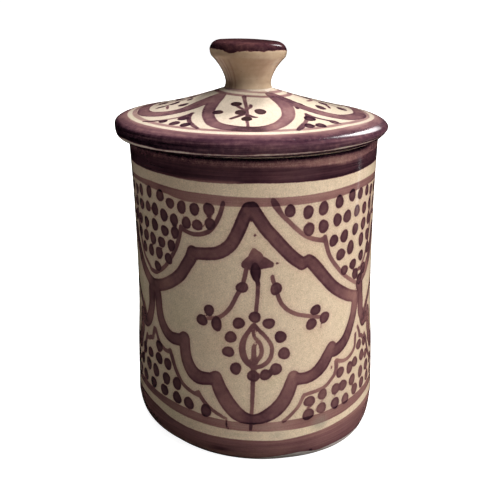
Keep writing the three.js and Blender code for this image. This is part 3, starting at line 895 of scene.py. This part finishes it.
def cream_ground(cloud, mottle, grain, tint, thin=CREAM_SHADE, thick=CREAM):
    """Cream glaze, thicker and paler in clouds, greener in some places and pinker in others."""
    cream = (0.5 + 1.2 * cloud + 0.8 * mottle).between(thin, thick)
    cream = cream.blend("MULTIPLY", 1 + 0.9 * grain + 0.2 * mottle, 1.0)
    green = cream.blend("MULTIPLY", GREEN_TINT, (tint * 2.2).rising(0.0, 0.6))
    return green.blend("MULTIPLY", PINK_TINT, (tint * -2.2).rising(0.0, 0.6))


def unevenness(start):
    """What jar and lid share: the place, ragged edges, mottle, clouds, grain and the brush's load."""
    place = start.node("TexCoord", {}, {}, out=3)
    ragged = place.noise(650, 3) * 0.9 + place.noise(2400, 2) * 0.35
    return place, ragged, place.noise(420, 4), place.noise(45, 3), place.noise(1900, 3), place.noise(160, 2)


def jar_finish():
    material, start = new_finish("jar_cream_and_purple")
    place, ragged, mottle, cloud, grain, brushing = unevenness(start)
    streak = place.noise(14, 4, (1, 1, 22))
    streak_fine = place.noise(30, 4, (1, 1, 60))

    wet = 1 + 0.45 * cloud + 0.5 * brushing + 0.55 * mottle + 0.3 * grain
    bold_paint = paint_layer(start, "bold", ragged) * painted(start, "bold_wet")
    fine_paint = paint_layer(start, "fine", ragged, 0.25, 1.0, 0.95) * painted(start, "fine_wet")
    brush = (bold_paint.most(fine_paint) + bold_paint.least(fine_paint) * CROSSING) * wet
    spots = paint_layer(start, "dots", ragged, 0.28, 1.08, 0.9) * painted(start, "dots_wet") * wet
    speckle = painted(start, "speckle") * (1.6 * grain + 0.9 * mottle)
    band_streak = 1 + 0.7 * streak + 0.6 * streak_fine + 0.3 * mottle + 0.25 * grain + speckle
    band_paint = paint_layer(start, "band", ragged, 0.3, 1.05, 1.0) * painted(start, "band_wet") * band_streak
    density = band_paint + brush.most(spots) + brush.least(spots) * CROSSING

    nearest = painted(start, "bold").most(painted(start, "fine")).most(painted(start, "dots"))
    bleeding = nearest.rising(-2.8, 0.0) * 0.09
    speck = place.noise(900, 1).rising(0.27, 0.31) * 0.45
    ground = cream_ground(cloud, mottle, grain, place.noise(32, 2))
    bare = (painted(start, "bare") + ragged * 0.8).rising(-0.1, 0.1)
    glazed(start, place, ground, (density + speck + bleeding).most(0.0), bare, painted(start, "smear"))
    return material


jar_piece = jar.build(jar_finish())
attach(jar_piece, "jar")
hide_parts("jar_body")

# The lid: a shallow thrown cone with a rolled edge that overhangs the lip and a flange that drops into the
# mouth. It has the jar's cream glaze and purple, in rings, four petals and four dotted corners. Its seat is
# bare clay, and it only rests on the lip, so it lifts straight off.

LID_SEAT = JAR_HEIGHT
LID_RADIUS = 69.6
SEAT_RADIUS = 65.0
EDGE_HEIGHT = 4.6
SHOULDER = (66.8, LID_SEAT + 7.7)
CONE_MIDDLE = (40, LID_SEAT + 12.7)
COLLAR_TOP = LID_SEAT + 22
NECK_FOOT = 12.1
LUTE_FILLET = 2.2
LID_WALL = 6
CROWN = COLLAR_TOP - 9.5
FLANGE_RADIUS = 56.8
FLANGE_INSIDE = 52.0
FLANGE_FOOT = LID_SEAT - 9
FLANGE_ROUND = 1.6
UNDERSIDE_FILLET = 4
ROLL_START = 63.5
SEAT_ROLL_STEPS = 14
# The lid's cream is a less yellow copy of the jar's, to paint the whitish sheen on the lid, and darker, to
# offset the stronger light that falls on the lid.
LID_SHEEN_CREAM = (0.665, 0.56, 0.45, 1)
LID_SHEEN_CREAM_SHADE = (0.60, 0.495, 0.385, 1)
LID_COLUMNS = 360


def lid_section():
    """From the crown underneath out to the flange, along the seat, round the edge and up to the collar."""
    inner_edge = FLANGE_INSIDE - UNDERSIDE_FILLET
    cone_start = (NECK_FOOT + LUTE_FILLET, COLLAR_TOP - LUTE_FILLET / 2)
    cone = bend(cone_start, CONE_MIDDLE, SHOULDER, 60)
    underside = np.interp(inner_edge, cone[:, 0], cone[:, 1]) - LID_WALL
    fillet_foot = (FLANGE_INSIDE, underside - UNDERSIDE_FILLET)
    cone = cone[cone[:, 0] < ROLL_START]
    slope = (cone[-1] - cone[-2])[1] / (cone[-1] - cone[-2])[0]
    roll_top = cone[-1][1] + (LID_RADIUS - cone[-1][0]) * slope
    widest = (LID_RADIUS, LID_SEAT + EDGE_HEIGHT)
    flange_centre = FLANGE_FOOT + FLANGE_ROUND
    return joined(
        bend((0, CROWN), (inner_edge / 2, CROWN), (inner_edge, underside), 12),
        bend((inner_edge, underside), (FLANGE_INSIDE, underside), fillet_foot, 5),
        straight(fillet_foot, (FLANGE_INSIDE, flange_centre), 2),
        quarter((FLANGE_INSIDE + FLANGE_ROUND, flange_centre), FLANGE_ROUND, 2),
        quarter((FLANGE_RADIUS - FLANGE_ROUND, flange_centre), FLANGE_ROUND, 3),
        straight((FLANGE_RADIUS, flange_centre), (FLANGE_RADIUS, LID_SEAT), 2),
        straight((FLANGE_RADIUS, LID_SEAT), (SEAT_RADIUS, LID_SEAT), 1),
        bend((SEAT_RADIUS, LID_SEAT), (LID_RADIUS, LID_SEAT), widest, SEAT_ROLL_STEPS),
        bend(widest, (LID_RADIUS, roll_top), cone[-1], 16),
        cone[::-1],
        bend(cone_start, (NECK_FOOT + 0.2, COLLAR_TOP - 0.8), (NECK_FOOT, COLLAR_TOP - 0.02), 6),
        [(NECK_FOOT, COLLAR_TOP), (NECK_FOOT - 0.1, COLLAR_TOP), (4, COLLAR_TOP), (0, COLLAR_TOP)],
    )


lid = Turned("painted_lid", lid_section(), LID_COLUMNS)
lid_radius = lid.radii()
lid_turn = lid.turns()
lid_widest = np.nonzero(lid.rings[:, 0] >= LID_RADIUS - 1e-6)[0][0]
lid_top = lid.along >= lid_widest
lid_top[-2] = False
lid_spots = np.where(lid_top[:, None], lid.points[:, :2], OUT_OF_REACH)

# The front half of the lid's pattern as seen from above, in millimetres from the lid's middle: strokes as
# (x, y, wetness, width) and dots as (x, y, width, height). The back half is the same, turned half round.
LID_STROKES = [
    [(-13.8, -13.5, 0.9, 6), (-15.6, -18, 1.15, 6.6), (-17.7, -22.5, 1.3, 7),
     (-19.8, -30.3, 1.5, 6.4), (-20, -37.5, 1.3, 5.7), (-18.2, -45, 1.25, 5.8),
     (-16.3, -48.4, 1.2, 6), (-13, -51.4, 1.5, 6), (-8, -53.6, 1.85, 5.9), (-3, -54.7, 2.1, 5.8),
     (3, -54.5, 1.9, 6), (7.5, -52.8, 1.35, 6.2), (10.5, -50.2, 1.05, 6.1), (13.2, -46.8, 1.1, 6),
     (16.5, -39, 1, 6), (17.3, -30.5, 0.95, 6.5), (16.9, -26, 1.1, 7.2), (15.6, -21.5, 1.45, 7.6),
     (12.6, -16.5, 1.4, 6.6), (10.6, -13.8, 1.1, 5)],
    [(-14.8, -12.8, 0.9, 5), (-19.5, -16.2, 1.1, 8), (-24.5, -19.6, 1.2, 8.8), (-29, -22.4, 1.3, 8),
     (-34, -24.6, 1.35, 7.2), (-39, -25.2, 1.3, 7.4), (-43.7, -24.2, 1.25, 7.5),
     (-48, -21.5, 1.1, 7.3), (-51.5, -17.5, 1.35, 6.8), (-53.7, -12, 1.3, 6.2), (-54.6, -6, 1.2, 6),
     (-54.9, 0, 1.1, 6)],
    [(12.2, -12.8, 1.1, 4), (16.5, -16.6, 1.75, 7), (21, -19.6, 1.5, 7.5), (26, -22.5, 1.15, 7),
     (31, -24.7, 1.15, 7.3), (36.4, -25.6, 1.15, 7.3), (41.5, -25.1, 1.25, 7.5),
     (46, -22.9, 1.35, 7.6), (50, -18.3, 1.45, 7.4), (53, -13, 1.55, 7.2), (54.7, -7, 1.45, 6.6),
     (54.9, 0, 1.25, 6)],
    [(24, -18.5, 1.9, 3.5), (22.8, -22.5, 1.9, 3), (21.9, -26, 1.8, 1.4)],
    [(-2.3, -18.9, 1.5, 2.4), (-2.3, -22.3, 1.4, 1.8), (-1.9, -31.4, 1.4, 1.6), (-2, -38.6, 1.5, 1.6),
     (-2.3, -43, 1.5, 1.6), (-2, -47.3, 1.2, 1.3), (-1.6, -52, 1.3, 1.4)],
    [(-6.5, -28, 1.5, 1.7), (-5, -30.9, 1.4, 1.7), (-2.4, -34.5, 1.4, 1.7)],
    [(-9.4, -42.8, 1.9, 1.9), (-6.4, -40.5, 1.8, 1.9), (-4, -38.6, 1.6, 1.8), (-2, -36.5, 1.5, 1.6)],
    [(0.3, -28, 1.5, 1.5), (0.1, -30.2, 1.5, 1.7), (-1.8, -33, 1.4, 1.5)],
    [(-1.8, -38.8, 1.4, 1.6), (0.4, -41, 1.8, 1.7), (2.4, -41.4, 1.6, 1.2)],
    [(-47.6, -9.8, 1.4, 1.5), (-44, -8.4, 1.9, 2.2), (-40, -6.6, 1.8, 1.9), (-36, -3.6, 1.7, 1.7),
     (-22, -1, 1.4, 1.6)],
    [(-41.8, -10, 0.9, 1.3), (-41.6, -13, 1.2, 1.5), (-41.1, -17, 1.2, 1)],
    [(35, -1, 1.4, 2), (37.3, -4.5, 1.5, 2.6), (38.4, -8, 1.4, 1.9), (38.8, -12, 1.3, 1.1)],
    [(31, -2, 0.9, 1.5), (29.8, -5.5, 0.9, 1.5), (28.5, -8.5, 0.8, 1.3)],
    [(20, 0, 0.6, 1.6), (33, -0.5, 1.2, 1.6), (48, -1, 0.9, 1.5)],
    [(-27.7, -31.8, 1.6, 2), (-30.5, -33.6, 1.5, 2), (-34, -34.8, 1.2, 1.7), (-38, -35.4, 1, 1.6),
     (-43, -35.4, 1.4, 1.8), (-47.3, -34.2, 1.5, 2), (-50.5, -32.6, 1.4, 1.8)],
    [(-28, -31.6, 1.6, 2), (-29, -35.9, 1.5, 2.2), (-28.4, -42, 1.3, 2), (-27.2, -45.5, 1.35, 2.1),
     (-25.9, -48.6, 1.4, 2.1), (-24, -51.9, 1.4, 1.8)],
    [(25.6, -31.2, 1.4, 1.8), (29, -33.6, 1.5, 1.8), (33, -34.6, 1.4, 1.7), (37, -35, 1.6, 2),
     (41, -36, 1.5, 1.8)],
    [(25.7, -31.2, 1.6, 2), (26, -34.5, 1.5, 2.4), (24.9, -40.5, 1.1, 1.9), (24.1, -43.2, 1.1, 1.9),
     (23.2, -46, 1.4, 2.6), (21.9, -49.5, 1.6, 2.8), (20.5, -52.6, 1.7, 2)],
]
LID_DOTS = [
    (-6.5, -26.8, 4.9, 4.3), (-15.7, -34.5, 4.7, 4.4), (-5, -36.1, 4.8, 4.8), (-2.3, -43.2, 4.6, 4.4),
    (4.3, -35, 5.2, 5.4), (-33.4, -15.2, 5, 4), (-38.6, -6.8, 5.2, 4), (-45, -8.4, 4.6, 3),
    (-30.2, -7, 3, 3.4), (34.1, -15, 4.6, 6), (45.7, -4.8, 5, 6), (36.5, -3.4, 4, 5),
    (29, 1.5, 4, 4.5), (-31.5, -37, 5.2, 5), (-40.9, -37.3, 4, 3.8), (-35.1, -42.3, 4.7, 4.5),
    (-29.9, -46.1, 4.6, 4.6), (26.8, -36.6, 5.3, 5.6), (38.3, -35.6, 4.8, 4.2), (25.9, -45.9, 4.7, 5),
    (31.4, -43.4, 4.8, 5),
]

FRONT_PETAL = 17
FRONT_DOT_WET = 2.75
SIDE_DOT_WET = 2.25
lid_strokes = new_coat(lid)
lid_dots = new_coat(lid)
for side in (1, -1):
    shake = 0 if side == 1 else LEAF_SHAKE
    for line in LID_STROKES:
        points = np.array(line, float)
        points[:, :2] = side * points[:, :2] + hand.normal(0, 1, (len(points), 2)) * shake
        stroke(lid_strokes, lid_spots, points)
    for x, y, wide, tall in LID_DOTS:
        centre = side * np.array([x, y]) + hand.normal(0, 1, 2) * shake
        wet = FRONT_DOT_WET if abs(x) < FRONT_PETAL else SIDE_DOT_WET
        dab(lid_dots, lid_spots, centre, wide, tall, wet + hand.uniform(-0.2, 0.2))

# Rings, banded while the lid spun a little off its centre. A thin one and a cream gap run inside the edge.
RING_OFF_CENTRE = 2.2
RING_TURNS = (-90, -60, -45, -30, 0, 30, 50, 65, 80, 90, 180)
GAP_INSIDE = (60.6, 60.3, 60, 59.4, 57.8, 57, 56.6, 58.3, 60, 60.3, 60.3)
GAP_OUTSIDE = (63, 62.8, 62.4, 62.2, 60.8, 59.5, 58.8, 60.3, 62.2, 62.8, 62.6)
gap_inside = round_piece(lid_turn, zip(RING_TURNS, GAP_INSIDE))
gap_outside = round_piece(lid_turn, zip(RING_TURNS, GAP_OUTSIDE))
neck_distance = np.hypot(lid.points[:, 0] - RING_OFF_CENTRE, lid.points[:, 1])
RINGS = [
    (neck_distance, 12.6, 14.9, 0.6), (neck_distance, 17.4, 19.6, 0.75),
    (lid_radius, gap_inside - 2.3, gap_inside, 0.75),
]
lid_bands = new_coat(lid)
all_lid = np.arange(len(lid.points))
for distance, low, high, wet in RINGS:
    inside = np.where(lid_top, np.minimum(distance - low, high - distance), NO_PAINT)
    lay(lid_bands, all_lid, inside, np.full(len(inside), wet))

# The painted edge: a cream line runs round under its widest place. Below that line the purple is painted
# shadow of the gap over the jar's lip.
ROLL_INSIDE = 60
edge_height = lid.points[:, 2] - LID_SEAT
cream_line = round_piece(
    lid_turn, [(-90, 2.1), (-60, 2.5), (-45, 2.5), (-28, 2.1), (0, 1.95), (40, 2.05), (60, 1.9), (180, 1.9)]
)
cream_line += 0.15 * np.sin(np.radians(11 * lid_turn)) + 0.1 * np.sin(np.radians(23 * lid_turn))
past_gap = lid_radius - gap_outside
# Painted shadow of the gap between the lid's lower edge and the jar's lip.
gap_shadow = np.minimum(1.25 - edge_height, 2)
gap_shadow = np.where((lid.along <= lid_widest) & (lid_radius > ROLL_INSIDE), gap_shadow, NO_PAINT)
lay(lid_bands, all_lid, gap_shadow, np.full(len(gap_shadow), 2.6))
above_line = np.where(lid.along > lid_widest, past_gap, np.minimum(edge_height - cream_line, past_gap))
top_wet = np.interp(past_gap, (0, 1, 2.6, 4, 5.5), (0.7, 0.95, 1.3, 1.45, 1.9))
side_wet = round_piece(
    lid_turn,
    [(-90, 2.6), (-50, 2.7), (-30, 2.5), (-10, 2.1), (10, 1.6), (30, 2), (50, 1.7), (90, 1.9), (180, 2.2)],
)
over_edge = 1 - eased(edge_height, 5.2, 7.4)
lay(lid_bands, all_lid, above_line, top_wet * (1 - over_edge) + side_wet * over_edge)

# The seat is bare, and so is the top of the flange beside it.
BARE_INSIDE = 55
BARE_FLANGE = 4
bare_seat = np.minimum(0.15 - 3 * edge_height, edge_height + BARE_FLANGE)
bare_seat = np.where((lid.along < lid_widest) & (lid_radius > BARE_INSIDE), bare_seat, NO_PAINT)
bare_seat[-2:] = NO_PAINT
for name, coat in [("bold", lid_strokes), ("dots", lid_dots), ("band", lid_bands)]:
    lid.keep(name, coat)
lid.paint["bare"] = bare_seat

# The lid dried a little higher on its left, its lower edge was trimmed higher on the right,
# and it rests against the left of the mouth. Its middle was pushed further left when the knob was set on.
LID_SHIFT = -1.8
KNOB_SHIFT = -3.45
PUSHED_RADIUS = 14
LID_TOP_SLOPE = -0.0168
LID_EDGE_SLOPE = 0.0126
above_edge = np.clip((edge_height - 2) / 3.5, 0, 1)
below_edge = np.clip((lid_radius - 62) / 4, 0, 1) * np.clip(edge_height / 0.8, 0, 1)
slope = LID_TOP_SLOPE * above_edge + LID_EDGE_SLOPE * below_edge * (1 - above_edge)
inside_lid = lid.along < lid_widest - SEAT_ROLL_STEPS
slope = np.where(inside_lid, LID_TOP_SLOPE * np.clip(edge_height / 8, 0, 1), slope)
lid.points[:, 2] += slope * lid.points[:, 0]
lid.points[:, 0] += np.interp(lid_radius, (PUSHED_RADIUS, CONE_MIDDLE[0]), (KNOB_SHIFT, LID_SHIFT))


def lid_finish():
    material, start = new_finish("lid_cream_and_purple")
    place, ragged, mottle, cloud, grain, brushing = unevenness(start)
    streak = place.noise(30, 4, (1, 1, 26))

    wet = 1 + 0.55 * cloud + 0.9 * brushing + 0.6 * mottle + 0.3 * grain
    brush = paint_layer(start, "bold", ragged, 0.28, 1.2, 0.96) * painted(start, "bold_wet") * wet
    spots = paint_layer(start, "dots", ragged) * painted(start, "dots_wet") * wet
    band_streak = 1 + 1.6 * streak + 0.8 * mottle + 0.7 * grain
    band_paint = paint_layer(start, "band", ragged, 0.35, 1.1, 1.0) * painted(start, "band_wet") * band_streak
    strokes = brush.most(spots)
    density = band_paint.most(strokes) + band_paint.least(strokes) * CROSSING
    ground = cream_ground(cloud, mottle, grain, place.noise(32, 2), LID_SHEEN_CREAM_SHADE, LID_SHEEN_CREAM)
    bare = (painted(start, "bare") + ragged * 0.5).rising(-0.1, 0.1)
    glazed(start, place, ground, density.most(0.0), bare)
    return material


lid_piece = lid.build(lid_finish())
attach(lid_piece, "lid_assembly")
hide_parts("lid")

# The knob: a solid flared stub of the same clay, thrown by itself and luted to the middle of the lid with
# slip. Thin tan glaze covers its neck, and its cap was dipped in purple, which ran to a ragged edge.

NECK_RADIUS = 11.5
KNOB_RADIUS = 19.35
KNOB_FLARE = (18.7, COLLAR_TOP + 15)
KNOB_TOP = COLLAR_TOP + 23
KNOB_EDGE = KNOB_TOP - 0.7
KNOB_ROUND = 4.2
KNOB_BEVEL = 0.8
KNOB_NECK = (NECK_RADIUS + 0.1, COLLAR_TOP + 3)
CAP_EDGE = COLLAR_TOP + 18.75
KNOB_COLUMNS = 180
TAN = (0.60, 0.45, 0.31, 1)
TAN_SHADE = (0.44, 0.31, 0.20, 1)


def knob_section():
    """From the collar up the neck and the flare, round the edge and in to the middle of the top."""
    widest = (KNOB_RADIUS, KNOB_EDGE - KNOB_ROUND)
    top_edge = (KNOB_RADIUS - KNOB_ROUND, KNOB_EDGE)
    return joined(
        [(0, COLLAR_TOP), (6, COLLAR_TOP), (NECK_FOOT - 0.1, COLLAR_TOP), (NECK_FOOT, COLLAR_TOP + 0.02)],
        bend((NECK_FOOT, COLLAR_TOP + 0.04), (NECK_RADIUS + 0.05, COLLAR_TOP + 1), KNOB_NECK, 8),
        bend(KNOB_NECK, (NECK_RADIUS + 1.2, COLLAR_TOP + 9), KNOB_FLARE, 22),
        bend(KNOB_FLARE, (KNOB_RADIUS, (KNOB_FLARE[1] + widest[1]) / 2), widest, 5),
        bend(widest, (KNOB_RADIUS - KNOB_BEVEL, KNOB_EDGE - KNOB_BEVEL), top_edge, 12),
        bend(top_edge, (top_edge[0] / 2, KNOB_TOP), (0, KNOB_TOP), 10),
    )


knob = Turned("glazed_knob", knob_section(), KNOB_COLUMNS)
knob_turn = knob.turns()
knob_height = knob.points[:, 2].copy()

# Where the purple ran below the cap, as (turn, width, depth), and where the glaze crawled on the neck's left.
KNOB_DRIPS = [
    (-26, 11, 1.7), (-10, 5, 0.3), (6, 4, 0.25), (22, 4, 0.3), (100, 20, 1), (-130, 25, 1.4),
    (170, 15, 0.7),
]
CRAWL_MARKS = [(-52, 2.2), (-44, 1.6), (-33, 1.4)]
drip = 0.12 * np.sin(np.radians(5 * knob_turn + 30))
for turn, wide, drop in KNOB_DRIPS:
    drip += drop * np.exp(-((degrees_from(turn, knob_turn) / wide) ** 2))
crawl = np.zeros(len(knob.points))
for turn, wide in CRAWL_MARKS:
    crawl = np.maximum(crawl, np.exp(-(((knob_turn - turn) / wide) ** 2)))
crawl *= eased(COLLAR_TOP + 16 - knob_height, 0, 4)
knob.paint = {"cap": knob_height - CAP_EDGE + drip, "crawl": crawl}

# The knob was set a little left of the lid's middle, and its top slopes with the lid's.
KNOB_TOP_SLOPE = -0.034
knob_rise = (knob_height - COLLAR_TOP) / (KNOB_TOP - COLLAR_TOP)
knob.points[:, 2] += (LID_TOP_SLOPE * (1 - knob_rise) + KNOB_TOP_SLOPE * knob_rise) * knob.points[:, 0]
knob.points[:, 0] += KNOB_SHIFT


def knob_finish():
    material, start = new_finish("knob_tan_and_purple")
    place = start.node("TexCoord", {}, {}, out=3)
    ragged = place.noise(520, 4) * 1.1 + place.noise(2200, 2) * 0.5
    mottle = place.noise(420, 4)
    cloud = place.noise(60, 3)
    grain = place.noise(1900, 3)
    throwing = place.noise(40, 3, (1, 1, 12))
    edge = painted(start, "cap") + ragged
    cap = edge.rising(-0.3, 0.3)
    cap_wet = (2.5 - 0.5 * edge.rising(0.5, 2.0)) * (1 + 0.7 * cloud + 1.0 * mottle + 0.6 * grain)
    pinholes = place.noise(1100, 1).rising(0.25, 0.29) * (1 - cap)
    thin = painted(start, "crawl") * (1 - cap) * 0.35
    density = cap * cap_wet + pinholes * 0.5 + thin
    tan = (0.5 + 1.1 * cloud + 0.8 * mottle + 0.7 * throwing).between(TAN_SHADE, TAN)
    glazed(start, place, tan, density.most(0.0))
    return material


knob_piece = knob.build(knob_finish())
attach(knob_piece, "lid_assembly")
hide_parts("lid_knob")

low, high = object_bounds()
